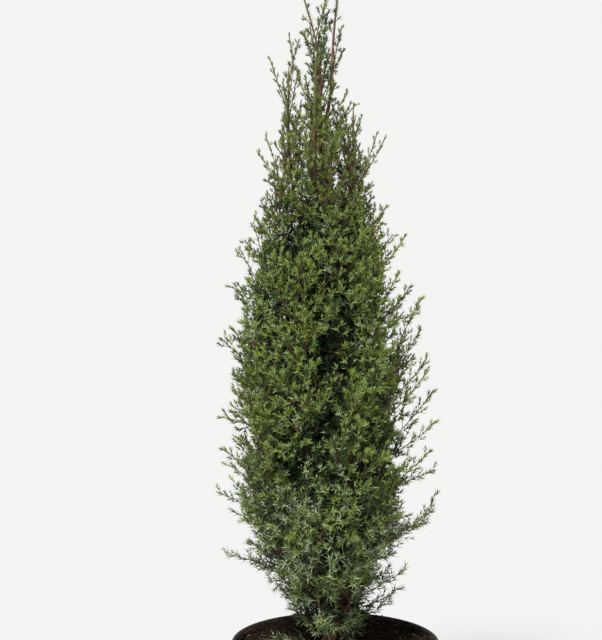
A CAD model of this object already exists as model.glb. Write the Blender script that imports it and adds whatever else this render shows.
# %% [markdown]
# # A potted columnar juniper
#
# This lesson dresses a plain solid model of a shrub in a nursery pot. The solids say where each
# limb and each mass of foliage is. Here every mass is replaced by real twigs and needles, every
# limb by bark, and the pot and its soil by finer surfaces. All sizes are in metres, +Z is up, the
# origin is the middle of the pot's underside, and -Y is the side that the photograph shows.

# %% Load the solid model
import math
from collections import namedtuple

import bpy
import numpy as np
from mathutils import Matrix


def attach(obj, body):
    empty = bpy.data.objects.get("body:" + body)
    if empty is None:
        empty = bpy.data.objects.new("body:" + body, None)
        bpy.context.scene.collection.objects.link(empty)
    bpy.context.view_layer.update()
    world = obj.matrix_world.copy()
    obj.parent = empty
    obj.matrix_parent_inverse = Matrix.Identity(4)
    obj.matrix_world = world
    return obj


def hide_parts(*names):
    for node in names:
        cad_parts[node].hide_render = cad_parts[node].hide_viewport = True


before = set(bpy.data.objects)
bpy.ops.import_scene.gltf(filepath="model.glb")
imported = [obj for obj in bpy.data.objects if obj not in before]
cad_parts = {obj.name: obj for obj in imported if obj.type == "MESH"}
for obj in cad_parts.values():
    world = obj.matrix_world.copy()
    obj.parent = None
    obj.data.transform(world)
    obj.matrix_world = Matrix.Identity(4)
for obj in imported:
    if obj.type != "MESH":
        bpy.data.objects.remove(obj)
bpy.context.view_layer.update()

# %% [markdown]
# ## Camera
#
# A photograph's viewing angle is rebuilt from what it shows. The pot's rim is a circle that looks
# like a flat ellipse, which gives the downward tilt, and the known height of the rim and of the
# crown's tip gives the distance. A long lens keeps the same flat perspective as a studio camera.

# %% Camera
CAMERA_PLACE = (-0.0431, -2.8, 1.0455)
CAMERA_TILT = 8.614
CAMERA_LENS = 129.8
SENSOR = 36.0
CLIP_NEAR, CLIP_FAR = 0.05, 1000.0


def add_camera():
    """A camera that looks along +Y and down by the tilt."""
    camera = bpy.data.objects.new("camera", bpy.data.cameras.new("camera"))
    bpy.context.scene.collection.objects.link(camera)
    camera.data.lens = CAMERA_LENS
    camera.data.sensor_width = SENSOR
    camera.data.clip_start = CLIP_NEAR
    camera.data.clip_end = CLIP_FAR
    camera.location = CAMERA_PLACE
    camera.rotation_euler = (math.radians(90 - CAMERA_TILT), 0, 0)
    bpy.context.scene.camera = camera


add_camera()
print("camera at", CAMERA_PLACE, "tilted down by", CAMERA_TILT, "degrees")

# %% [markdown]
# ## Finishes
#
# A finish is a small graph of nodes that ends in one shader. Most of the finishes here are one
# plain colour. The others start as plain ones, and nodes for noise, colour and relief are linked
# to the shader's sockets, so one helper makes a node and another makes a ramp of colours.

# %% Plain finishes, nodes and colour ramps
RAMP_MIDDLE = 0.5


def plain_finish(name, colour, roughness, **sockets):
    """A material of one colour. Extra sockets are given by name, with _ for a space."""
    made = bpy.data.materials.new(name)
    made.use_nodes = True
    shader = made.node_tree.nodes["Principled BSDF"]
    shader.inputs["Base Color"].default_value = (*colour, 1.0)
    shader.inputs["Roughness"].default_value = roughness
    for socket, value in sockets.items():
        shader.inputs[socket.replace("_", " ")].default_value = value
    return made


def add_node(tree, kind, **settings):
    """A shader node with its settings, and with its input sockets set by name or number."""
    node = tree.nodes.new(kind)
    for name, value in settings.pop("sockets", {}).items():
        node.inputs[name].default_value = value
    for name, value in settings.items():
        setattr(node, name, value)
    return node


def colour_ramp(tree, factor, stops):
    """A ramp of colours over a factor, with stops of (place, colour), even between two stops."""
    ramp = add_node(tree, "ShaderNodeValToRGB")
    elements = ramp.color_ramp.elements
    while len(elements) < len(stops):
        elements.new(RAMP_MIDDLE)
    for element, (place, colour) in zip(elements, stops):
        element.position = place
        element.color = (*colour, 1.0)
    tree.links.new(factor, ramp.inputs["Fac"])
    return ramp.outputs["Color"]


# %% [markdown]
# ## Floor and light
#
# A studio sweep has no horizon: floor and background are one pale tone. A wide plain floor does
# the same if its tone meets the sky's at the horizon. Overhead the sky is dimmer, so that one
# large soft lamp, in front and a little to the left, models the needles. The floor's own colour
# is the pale tone divided by the light that falls on it.

# %% Sky
PALE_TONE = (0.905, 0.903, 0.890)
OVERHEAD_SHARE = 0.24
HORIZON_BAND = (0.16, 0.34)


def add_sky():
    """A pale sky that fades to a dimmer one from the horizon band up, by the height of the ray."""
    world = bpy.data.worlds.new("sky")
    world.use_nodes = True
    bpy.context.scene.world = world
    tree = world.node_tree
    place = add_node(tree, "ShaderNodeTexCoord")
    parts = add_node(tree, "ShaderNodeSeparateXYZ")
    tree.links.new(place.outputs["Generated"], parts.inputs["Vector"])
    dim_tone = [OVERHEAD_SHARE * tone for tone in PALE_TONE]
    stops = list(zip(HORIZON_BAND, (PALE_TONE, dim_tone)))
    tree.links.new(colour_ramp(tree, parts.outputs["Z"], stops), tree.nodes["Background"].inputs["Color"])


add_sky()
print("tone of the sky at the horizon", PALE_TONE)

# %% Lamp
LAMP_SHARE = 1.28
LAMP_HEIGHT, LAMP_BEARING = 53.0, 247.0
LAMP_SOFTNESS = 14.0


def add_lamp():
    """One soft sun. Its strength is its share of the light on the floor, times pi, over the sine
    of its height above the horizon."""
    lamp = bpy.data.objects.new("soft_lamp", bpy.data.lights.new("soft_lamp", "SUN"))
    bpy.context.scene.collection.objects.link(lamp)
    lamp.data.angle = math.radians(LAMP_SOFTNESS)
    lamp.data.energy = LAMP_SHARE * math.pi / math.sin(math.radians(LAMP_HEIGHT))
    lamp.rotation_euler = (math.radians(90 - LAMP_HEIGHT), 0, math.radians(LAMP_BEARING + 90))


add_lamp()
print("lamp at a height of", LAMP_HEIGHT, "and a bearing of", LAMP_BEARING, "degrees")

# %% Floor
FLOOR_RADIUS = 220.0
FLOOR_SIDES = 96


def add_floor():
    """A plain floor disc. Its colour is the pale tone over the light of sky and lamp. Of a sky's
    light on a level floor, the part below a height, as a share of straight up, is that squared."""
    turns = np.linspace(0, 2 * math.pi, FLOOR_SIDES, endpoint=False)
    edge = np.stack([FLOOR_RADIUS * np.cos(turns), FLOOR_RADIUS * np.sin(turns), 0 * turns], axis=1)
    mesh = bpy.data.meshes.new("floor")
    mesh.from_pydata(edge.tolist(), [], [list(range(FLOOR_SIDES))])
    floor = bpy.data.objects.new("floor", mesh)
    bpy.context.scene.collection.objects.link(floor)
    pale_part = np.mean(HORIZON_BAND) ** 2
    sky_share = pale_part + OVERHEAD_SHARE * (1 - pale_part)
    tone = [t / (t * sky_share + LAMP_SHARE) for t in PALE_TONE]
    mesh.materials.append(plain_finish("studio_floor", tone, 1.0, Specular_IOR_Level=0.0))
    return tone


floor_tone = add_floor()
bpy.context.scene.view_settings.view_transform = "Standard"
print("floor colour", np.round(floor_tone, 3))

# %% [markdown]
# ## Small tools for surfaces
#
# Every piece here is a surface worked out with numpy: rings of points along a path, as one whole
# array. The helpers turn such arrays into a mesh, and give each point of many paths at once.

# %% Vectors
TINY = 1e-12


def unit(v):
    """Vectors at length 1, along the last axis: each over its own length."""
    return v / np.maximum(np.linalg.norm(v, axis=-1, keepdims=True), TINY)


def turned(x, y, angle):
    """Two coordinates after a turn by an angle: x cos - y sin, and x sin + y cos."""
    return x * np.cos(angle) - y * np.sin(angle), x * np.sin(angle) + y * np.cos(angle)


# %% Mesh from arrays
def new_piece(name, places, faces, finishes, face_slots=None, smooth=False):
    """An object from an array of places and a list of face arrays, each (faces, corners). A face
    of n corners counts as n - 2 triangles."""
    mesh = bpy.data.meshes.new(name)
    for finish in finishes:
        mesh.materials.append(finish)
    corners = np.concatenate([f.ravel() for f in faces]).astype(np.int32)
    sizes = np.concatenate([np.full(len(f), f.shape[1]) for f in faces])
    mesh.vertices.add(len(places))
    mesh.vertices.foreach_set("co", np.ascontiguousarray(places, np.float32).ravel())
    mesh.loops.add(len(corners))
    mesh.loops.foreach_set("vertex_index", corners)
    mesh.polygons.add(len(sizes))
    mesh.polygons.foreach_set("loop_start", (np.cumsum(sizes) - sizes).astype(np.int32))
    mesh.polygons.foreach_set("use_smooth", np.full(len(sizes), smooth))
    if face_slots is not None:
        mesh.polygons.foreach_set("material_index", face_slots.astype(np.int32))
    mesh.update(calc_edges=True)
    piece = bpy.data.objects.new(name, mesh)
    bpy.context.scene.collection.objects.link(piece)
    print(name, "has", int((sizes - 2).sum()), "triangles")
    return piece


def merged(parts):
    """Places and faces of several surfaces as one. A face's numbers are raised by the number of
    places before its own surface."""
    first = np.cumsum([0] + [len(places) for places, _ in parts[:-1]])
    places = np.concatenate([places for places, _ in parts])
    return places, [f + start for (_, faces), start in zip(parts, first) for f in faces]


# %% Rings, spokes and fans
def ring_faces(first, rings, sides):
    """Four-cornered faces between the rings of tubes. first holds each tube's first vertex. Ring r
    and side k have the vertex r sides + k after it."""
    row = np.arange(rings - 1)[:, None] * sides
    side = np.arange(sides)[None]
    after = (side + 1) % sides
    quad = np.stack([row + side, row + after, row + sides + after, row + sides + side], axis=-1)
    return (first[:, None, None] + quad.reshape(1, -1, 4)).reshape(-1, 4)


def spokes(across, up, sides):
    """Unit vectors round the points of a path, one for each side: cos(turn) across + sin(turn) up."""
    turns = (np.arange(sides) * 2 * math.pi / sides)[:, None]
    return np.cos(turns) * across[..., None, :] + np.sin(turns) * up[..., None, :]


def fan(first, sides, centre):
    """Triangles from each side of a ring, whose first vertex is given, to a vertex at its centre."""
    around = np.arange(sides)
    return np.stack([first + around, first + (around + 1) % sides, np.full(sides, centre)], axis=1)


def closed_tube(rings, ends, inside_out=False):
    """Places and faces of one tube, from its rings (rings, sides, 3) and the two points at its ends,
    each joined to its ring by a fan. A triangle turns over when its first two corners are swapped,
    and inside out is for a tube whose rings run the other way."""
    count, sides = rings.shape[:2]
    quads = ring_faces(np.array([0]), count, sides)
    foot = fan(0, sides, count * sides)
    tip = fan((count - 1) * sides, sides, count * sides + 1)
    places = np.concatenate([rings.reshape(-1, 3), ends])
    if inside_out:
        return places, [quads[:, ::-1], foot, tip[:, [1, 0, 2]]]
    return places, [quads, foot[:, [1, 0, 2]], tip]


# %% Smooth curves through stations
def smooth(stations, at):
    """Value at a height, on the smooth curve through the stations (height, value). Between two
    stations it is a cubic: the values by the shares 1 - rise and rise, with rise 3 s^2 - 2 s^3, and
    the slopes by s (1 - s)^2 and - s^2 (1 - s) times the width."""
    height, value = np.array(stations, float).T
    slope = np.gradient(value, height)
    k = np.clip(np.searchsorted(height, at) - 1, 0, len(height) - 2)
    width = height[k + 1] - height[k]
    s = np.clip((at - height[k]) / width, 0, 1)
    rise = s * s * (3 - 2 * s)
    return (
        value[k] * (1 - rise)
        + value[k + 1] * rise
        + s * (1 - s) ** 2 * width * slope[k]
        - s * s * (1 - s) * width * slope[k + 1]
    )


def bezier(start, middle, end, t):
    """Point or points at t on a quadratic Bezier curve: (1 - t)^2 start + 2 t (1 - t) middle
    + t^2 end."""
    t = np.atleast_1d(t)[:, None]
    return (1 - t) ** 2 * start + 2 * t * (1 - t) * middle + t * t * end


def run_along(line):
    """The way run along a line of points up to each of them: the sum of the steps before it."""
    return np.concatenate([[0], np.cumsum(np.linalg.norm(np.diff(line, axis=0), axis=1))])


def along(line, widths, step):
    """Points at about a step's spacing along a line, with the width there, both by straight
    lines between the given points."""
    run = run_along(line)
    at = np.linspace(0, run[-1], max(2, int(run[-1] / step)))
    points = np.stack([np.interp(at, run, line[:, k]) for k in range(3)], axis=1)
    return points, np.interp(at, run, widths)


# %% [markdown]
# ## The plan of the limbs
#
# A columnar juniper has one leaning trunk, and boughs that leave it low and turn up steeply, so
# its head is a slim spindle. The plan is the solid model's own rule with the same named sizes and
# the same seed, so that twigs grow on exactly from the limbs. A tier is a whorl of boughs at one
# height. Each bough ends at the foot of a plume, which has a stem and keeps to its own space.

# %% The trunk
GAP = 0.0003
SOIL_CROWN_HEIGHT = 0.2020
FOOT_HEIGHT = SOIL_CROWN_HEIGHT + GAP
TRUNK_TIP_HEIGHT = 0.932
# Stations of the trunk: a height with its distance to the right, to the back, and its radius.
TRUNK_LEAN = (
    (FOOT_HEIGHT, -0.012), (0.32, 0.020), (0.50, 0.006), (0.70, -0.014), (TRUNK_TIP_HEIGHT, -0.021),
)
TRUNK_DEPTH = ((FOOT_HEIGHT, 0.000), (0.32, 0.007), (0.55, -0.005), (TRUNK_TIP_HEIGHT, 0.002))
TRUNK_RADIUS = ((FOOT_HEIGHT, 0.0070), (0.32, 0.0057), (0.60, 0.0037), (TRUNK_TIP_HEIGHT, 0.0018))
FLARE, FLARE_HEIGHT = 0.0038, 0.008
FOOT_STRAIGHT = 0.003
TRUNK_POINTS, POINTS_CROWD_DOWN = 16, 1.35


def trunk_centre(height):
    """Point of the trunk's middle line."""
    return np.array([float(smooth(TRUNK_LEAN, height)), float(smooth(TRUNK_DEPTH, height)), height])


def trunk_radius(height):
    """Radius of the trunk, plus a root flare that dies away upwards: exp(-height / its scale)."""
    flare = FLARE * math.exp(-(height - FOOT_HEIGHT) / FLARE_HEIGHT)
    return float(smooth(TRUNK_RADIUS, height)) + flare


def trunk_line():
    """Points and radii of the trunk. Its foot starts upright, so that its cut is level."""
    share = np.linspace(0, 1, TRUNK_POINTS) ** POINTS_CROWD_DOWN
    heights = FOOT_HEIGHT + FOOT_STRAIGHT + share * (TRUNK_TIP_HEIGHT - FOOT_HEIGHT - FOOT_STRAIGHT)
    foot = trunk_centre(FOOT_HEIGHT + FOOT_STRAIGHT)
    foot[2] = FOOT_HEIGHT
    points = [foot] + [trunk_centre(h) for h in heights]
    radii = [trunk_radius(FOOT_HEIGHT)] + [trunk_radius(h) for h in heights]
    return np.array(points), np.array(radii)


print("the trunk rises from", FOOT_HEIGHT, "to", TRUNK_TIP_HEIGHT)

# %% The crown's axis and width
LEVEL, UPRIGHT = np.array([1, 1, 0]), np.array([0, 0, 1])
# By height: how far the axis stands to the right of the pot's middle, and the half width.
CROWN_AXIS = ((0.22, -0.006), (0.60, -0.015), (0.90, -0.023), (1.03, -0.016))
CROWN_WIDTH = (
    (0.205, 0.028), (0.265, 0.050), (0.31, 0.076), (0.37, 0.098), (0.47, 0.112), (0.57, 0.108),
    (0.66, 0.096), (0.74, 0.074), (0.82, 0.055), (0.92, 0.038), (1.00, 0.028), (1.03, 0.024),
)


def crown_axis(height):
    """Points of the crown's leaning axis at the heights given."""
    height = np.asarray(height, float)
    return np.stack([smooth(CROWN_AXIS, height), np.zeros_like(height), height], axis=-1)


def off_axis(points):
    """Level distance of points from the crown's axis."""
    return np.hypot(*(points - crown_axis(points[:, 2]))[:, :2].T)


def outward_from_axis(points):
    """Level unit vectors from the crown's axis out to points."""
    return unit((points - crown_axis(points[:, 2])) * LEVEL)


def outwardness(points):
    """How far out points lie: distance from the crown's axis over the crown's half width."""
    return off_axis(points) / smooth(CROWN_WIDTH, points[:, 2])


def rightness(points):
    """How far to the right points lie: distance to the right of the axis over the half width."""
    return (points - crown_axis(points[:, 2]))[:, 0] / smooth(CROWN_WIDTH, points[:, 2])


print("the crown is at most", 2 * max(half for _, half in CROWN_WIDTH), "wide")

# %% A bough
BOUGH_THICKNESS, BOUGH_TIP_RADIUS, BOUGH_POINTS = 0.55, 0.0016, 6
BOUGH_BEND, BOUGH_UPRIGHT = 0.72, 0.62
FACET_ALLOWANCE = 0.00025
SAMPLE_STEP = 0.002
SEATING_ROUNDS, RIM_SAMPLES = 8, 24


def bough_line(fork_height, outward, tip):
    """Points and radii of a limb that leaves the trunk's side at a height and ends at tip, on a
    Bezier curve. Its cut foot is moved out along outward, by what its rim's least distance from
    the trunk's bark lacks, until it stands a running gap off it."""
    outward = unit(outward * LEVEL)
    root_radius = trunk_radius(fork_height) * BOUGH_THICKNESS
    rise = tip[2] - fork_height
    bark, bark_radius = along(*trunk_line(), step=SAMPLE_STEP / 2)
    near = np.abs(bark[:, 2] - fork_height) < rise
    bark, bark_radius = bark[near], bark_radius[near]
    away = trunk_radius(fork_height)
    turns = np.linspace(0, 2 * math.pi, RIM_SAMPLES, endpoint=False)[:, None]
    for _ in range(SEATING_ROUNDS):
        start = trunk_centre(fork_height) + outward * away
        bend = np.array([*(start + BOUGH_BEND * (tip - start))[:2], tip[2] - BOUGH_UPRIGHT * rise])
        points = bezier(start, bend, tip, np.linspace(0, 1, BOUGH_POINTS))
        ahead = unit(points[1] - points[0])
        side = unit(np.cross(ahead, UPRIGHT))
        rim = start + root_radius * (np.cos(turns) * side + np.sin(turns) * np.cross(ahead, side))
        clear = (np.linalg.norm(rim[:, None] - bark[None], axis=2) - bark_radius).min()
        away += GAP - FACET_ALLOWANCE - clear
    return points, np.linspace(root_radius, BOUGH_TIP_RADIUS, BOUGH_POINTS)


# %% Whorls of boughs
# A whorl: its name, its number of boughs, the first one's bearing in degrees, and the heights of
# their forks, of the plumes' feet and of their tops, with how far those reach out from the axis.
Tier = namedtuple("Tier", "name count bearing fork foot foot_reach top top_reach")
TIERS = (
    Tier("skirt", 5, 30, 0.222, 0.252, 0.030, 0.400, 0.080),
    Tier("lower", 5, 0, 0.275, 0.335, 0.054, 0.560, 0.084),
    Tier("middle", 5, 36, 0.385, 0.455, 0.054, 0.705, 0.066),
    Tier("upper", 4, 15, 0.525, 0.605, 0.044, 0.855, 0.036),
    Tier("shoulder_left", 1, 183, 0.690, 0.765, 0.028, 0.944, 0.036),
    Tier("shoulder_back", 1, 95, 0.740, 0.815, 0.024, 0.968, 0.022),
    Tier("shoulder_right", 1, 350, 0.665, 0.745, 0.036, 0.895, 0.044),
    Tier("shoulder_front", 1, 262, 0.705, 0.775, 0.028, 0.935, 0.026),
)
HEIGHT_JITTER, BEARING_JITTER = 0.012, 9.0
FORK_SPREAD, FOOT_SPREAD, FORK_JITTER, FORK_SHARE = 0.055, 0.030, 0.003, 0.382
print("whorls of boughs from the foot up:", ", ".join(tier.name for tier in TIERS))

# %% Leading shoots and seeds
SECOND_LEADER_FORK = 0.835
SECOND_LEADER_WAY = (1.0, 0.15, 0.0)
SECOND_LEADER_TIP = (-0.0045, 0.000, 0.955)
LEFT_SHOOT_TOP = (-0.041, 0.004, 1.016)
RIGHT_SHOOT_TOP = (0.0020, -0.002, 1.024)
# Each later step draws with a seed of its own, so that a change in one leaves the others alone.
FIRST_SEED = 11
SHADE_SEED, NEEDLE_SEED, SOIL_SEED, LITTER_SEED, LUMP_SEED = range(FIRST_SEED + 1, FIRST_SEED + 6)
print("tops of the two leading shoots:", LEFT_SHOOT_TOP, RIGHT_SHOOT_TOP)

# %% The plan of the crown
Plume = namedtuple("Plume", "name foot foot_way top")


def bearing_way(degrees):
    """Level unit vector at a bearing from the right."""
    return np.array([math.cos(math.radians(degrees)), math.sin(math.radians(degrees)), 0.0])


def plan_crown():
    """All limbs as (name, points, radii), and all plumes. In each tier the bearings pass evenly
    round the trunk, and forks and feet step up by the golden section, so that no two are level."""
    rng = np.random.default_rng(FIRST_SEED)
    limbs = [("trunk", *trunk_line())]
    plumes = []
    for tier in TIERS:
        for i in range(tier.count):
            turn, fork_shift, top_shift = rng.uniform(-1, 1, 3)
            bearing = tier.bearing + 360.0 * i / tier.count + BEARING_JITTER * turn * (tier.count > 1)
            way = bearing_way(bearing)
            name = f"{tier.name}_{i + 1}" if tier.count > 1 else tier.name
            step = i * FORK_SHARE % 1.0
            fork = tier.fork + FORK_SPREAD * step + FORK_JITTER * fork_shift
            foot = crown_axis(tier.foot + FOOT_SPREAD * step) + way * tier.foot_reach
            top = crown_axis(tier.top + HEIGHT_JITTER * top_shift) + way * tier.top_reach
            points, radii = bough_line(fork, foot - trunk_centre(fork), foot)
            limbs.append((f"bough_{name}", points, radii))
            plumes.append(Plume(f"foliage_{name}", foot, unit(points[-1] - points[-2]), top))
    leader_way, leader_tip = np.array(SECOND_LEADER_WAY), np.array(SECOND_LEADER_TIP)
    points, radii = bough_line(SECOND_LEADER_FORK, leader_way, leader_tip)
    limbs.append(("second_leader", points, radii))
    for name, line, top in (
        ("foliage_left_shoot", limbs[0][1], LEFT_SHOOT_TOP),
        ("foliage_right_shoot", points, RIGHT_SHOOT_TOP),
    ):
        plumes.append(Plume(name, line[-1], unit(line[-1] - line[-2]), np.array(top)))
    return limbs, plumes


limbs, plumes = plan_crown()
print(len(limbs), "limbs and", len(plumes), "plumes")

# %% [markdown]
# ## Strands
#
# A stem, a twig and a shoot are all the same thing at another size: a thin tapering strand that
# leaves its parent at an angle and bends up towards the light. So one form holds them all. Many
# thousands are worked out together: each field below is an array with one entry for each strand.

# %% Strands
Strands = namedtuple("Strands", "start way curl length radius tip_radius plume past shade")


def picked(strands, keep):
    """The strands that an index or a mask picks."""
    return Strands(*(field[keep] for field in strands))


def joined(*groups):
    """Several groups of strands as one."""
    return Strands(*(np.concatenate(fields) for fields in zip(*groups)))


def strand_points(strands, s):
    """Points at shares s, one row of shares for each strand: start plus length times
    (s times way, plus half of s squared times curl)."""
    s = s[..., None]
    run = s * strands.way[:, None] + 0.5 * s * s * strands.curl[:, None]
    return strands.start[:, None] + strands.length[:, None, None] * run


def straight_tips(strands):
    """Where strands would end if they didn't curl: start plus length times way."""
    return strands.start + strands.way * strands.length[:, None]


def strand_frames(strands, s):
    """Unit vectors ahead, across and up at shares s of each strand. Ahead is way plus s times
    curl. Across is square to it and to the world axis that the strand is furthest from."""
    ahead = unit(strands.way[:, None] + s[..., None] * strands.curl[:, None])
    reference = np.eye(3)[np.abs(strands.way).argmin(axis=1)][:, None]
    across = unit(np.cross(ahead, reference))
    return ahead, across, np.cross(ahead, across)


# %% [markdown]
# A plume's stem goes on from its bough in the bough's own direction, and bends up to the plume's
# top. A Bezier curve with one middle point does just that, and a strand holds it exactly.

# %% Stems of the plumes
STEM_SAMPLES = 16
STEM_RADII = (0.0016, 0.0009)
STEM_BEND = 0.30


def curves(start, middle, end, radii, plume):
    """Strands along quadratic Bezier curves: way is 2 (middle - start) and curl is
    2 (start - 2 middle + end), both over the chord, and the length is the chord."""
    chord = np.linalg.norm(end - start, axis=1, keepdims=True)
    count = len(start)
    return Strands(
        start, 2 * (middle - start) / chord, 2 * (start - 2 * middle + end) / chord, chord[:, 0],
        np.zeros(count) + radii[0], np.zeros(count) + radii[1], plume, np.zeros(count),
        np.zeros(count, int),
    )


def plume_stems():
    """The plumes' stems as strands, which leave the bough's tip in the bough's own direction."""
    foot_way = np.array([p.foot_way for p in plumes])
    top = np.array([p.top for p in plumes])
    start = np.array([p.foot for p in plumes]) + foot_way * GAP
    middle = start + foot_way * np.linalg.norm(top - start, axis=1, keepdims=True) * STEM_BEND
    return curves(start, middle, top, STEM_RADII, np.arange(len(plumes)))


stems = plume_stems()
stem_samples = strand_points(stems, np.tile(np.linspace(0, 1, STEM_SAMPLES), (len(plumes), 1)))
print("stems are", stems.length.min().round(3), "to", stems.length.max().round(3), "m long")

# %% [markdown]
# ## The room that a plume has
#
# Real twigs fill the space that their neighbours leave. Here a point belongs to the plume with the
# nearest stem, and it must lie inside the crown's outline, over the soil and clear of the limbs.
# Tips may stand a little past the outline, each by its own amount, which makes the ragged edge.

# %% Samples and distances
LIMB_STEP = 0.004
# Distances are worked out for this many points at a time, so that the arrays stay small.
CHUNK = 20000

sampled_limbs = [along(points, radii, LIMB_STEP) for _, points, radii in limbs]
limb_points = np.concatenate([points for points, _ in sampled_limbs])
limb_radii = np.concatenate([radii for _, radii in sampled_limbs])
print(len(limb_points), "samples along the limbs")


def distances(points, targets):
    """Distance from each point to each target: the root of p.p + t.t - 2 p.t."""
    square = (points**2).sum(1)[:, None] + (targets**2).sum(1)[None] - 2 * points @ targets.T
    return np.sqrt(np.maximum(square, 0))


def plume_distances(points):
    """Distance from each point to the nearest sample of each plume's stem."""
    away = distances(points, stem_samples.reshape(-1, 3))
    return away.reshape(len(points), len(plumes), -1).min(axis=2)


# %% [markdown]
# An even outline would look clipped. So the head bulges and sinks in by a sum of random waves,
# which neighbouring twigs share.

# %% Lumps
LUMP_WAVES, LUMP_LENGTHS = 9, (0.045, 0.110)


def lump_waves():
    """Random waves for the lumps: each one's direction and frequency, and its phase."""
    rng = np.random.default_rng(LUMP_SEED)
    ahead = unit(rng.normal(0, 1, (LUMP_WAVES, 3))) * 2 * math.pi
    return ahead / rng.uniform(*LUMP_LENGTHS, (LUMP_WAVES, 1)), rng.uniform(0, 2 * math.pi, LUMP_WAVES)


LUMP_FREQUENCY, LUMP_PHASE = lump_waves()


def lumps(points):
    """How far a place bulges, about -1 to 1: the sum of the waves' sines, evened by their number.
    Neighbours share it, so the head gets plumes that stand out and dark pockets between them."""
    waves = np.sin(points @ LUMP_FREQUENCY.T + LUMP_PHASE)
    return waves.sum(axis=-1) / math.sqrt(LUMP_WAVES)


print("lumps are", LUMP_WAVES, "waves of", LUMP_LENGTHS[0], "to", LUMP_LENGTHS[1], "m")

# %% Room to grow
CROWN_TOP = 1.032
CELL_SLACK = 0.024
POT_RIM_RADIUS, POT_HEIGHT = 0.130, 0.215
RIM_MARGIN, FLOOR_CLEARANCE = 0.012, 0.003
LIMB_CLEARANCE = 0.0010


def over_soil(points):
    """True for each point that is clear of the soil, or of the pot's rim where it is near that."""
    over_pot = np.hypot(points[:, 0], points[:, 1]) < POT_RIM_RADIUS - RIM_MARGIN
    return points[:, 2] > np.where(over_pot, SOIL_CROWN_HEIGHT, POT_HEIGHT) + FLOOR_CLEARANCE


def has_room(points, plume, past):
    """True for each point that is in its plume's own room: over the soil, inside the outline or
    not too far past it, hardly further from its own stem than from any other, and off the bark."""
    room = over_soil(points) & (points[:, 2] < CROWN_TOP)
    room &= off_axis(points) < smooth(CROWN_WIDTH, points[:, 2]) + past
    for part in np.array_split(np.arange(len(points)), len(points) // CHUNK + 1):
        away = plume_distances(points[part])
        own = away[np.arange(len(part)), plume[part]]
        room[part] &= own < away.min(axis=1) + CELL_SLACK
        limb_gap = distances(points[part], limb_points) - limb_radii
        room[part] &= limb_gap.min(axis=1) > LIMB_CLEARANCE
    return room


def cut_to_room(strands, samples, shortest):
    """Strands cut back to where they leave their room. One cut shorter than shortest is dropped.
    Cutting a strand at share q makes its length and its curl q times as much."""
    s = np.linspace(0, 1, samples + 1)[1:]
    shares = np.tile(s, (len(strands.length), 1))
    points = strand_points(strands, shares).reshape(-1, 3)
    room = has_room(points, np.repeat(strands.plume, samples), np.repeat(strands.past, samples))
    room = room.reshape(-1, samples)
    free = np.where(room.all(axis=1), samples, room.argmin(axis=1))
    q = free / samples
    cut = strands._replace(length=strands.length * q, curl=strands.curl * q[:, None])
    return picked(cut, cut.length >= shortest)


# %% [markdown]
# ## Side shoots by one rule
#
# Shoots stand round their parent by the golden angle, 137.5 degrees, so that none lies right over
# another. They open wide at the parent's foot and close towards its tip, where they are shorter.
# The shrub changes with height: low down its twigs spread and turn up, near the top they are long,
# thin and steep, with short tufts. So a rule holds two habits, and passes from one to the other
# over a range of heights. The same function grows twigs on stems, shoots on twigs, and the rest.

# %% Habits, rules and soft passages
# Angles in degrees and lengths at a parent's foot and tip, and how much a way is turned or bent.
Habit = namedtuple("Habit", "opening_foot opening_tip reach_foot reach_tip pull lift curl")
# Spacing, share of the parent that bears, radii, the heights between which low passes to high.
Rule = namedtuple("Rule", "pitch span radii passes low high")


def eased(height, between):
    """Share from 0 to 1 that a height has passed of a range, with soft ends: 3 s^2 - 2 s^3."""
    s = np.clip((height - between[0]) / (between[1] - between[0]), 0, 1)
    return s * s * (3 - 2 * s)


# %% Side shoots
GOLDEN_ANGLE = math.radians(137.508)
ANGLE_SPREAD, REACH_SPREAD, CURL_SPREAD = (0.78, 1.20), (0.72, 1.18), (0.5, 1.3)
WANDER = 0.12
PLACE_JITTER = (0.2, 0.8)


def dealt(counts):
    """For items dealt out counts[i] to each owner i: each item's owner, and its place there."""
    owner = np.repeat(np.arange(len(counts)), counts)
    first = np.cumsum(counts) - counts
    return owner, np.arange(len(owner)) - first[owner]


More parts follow.
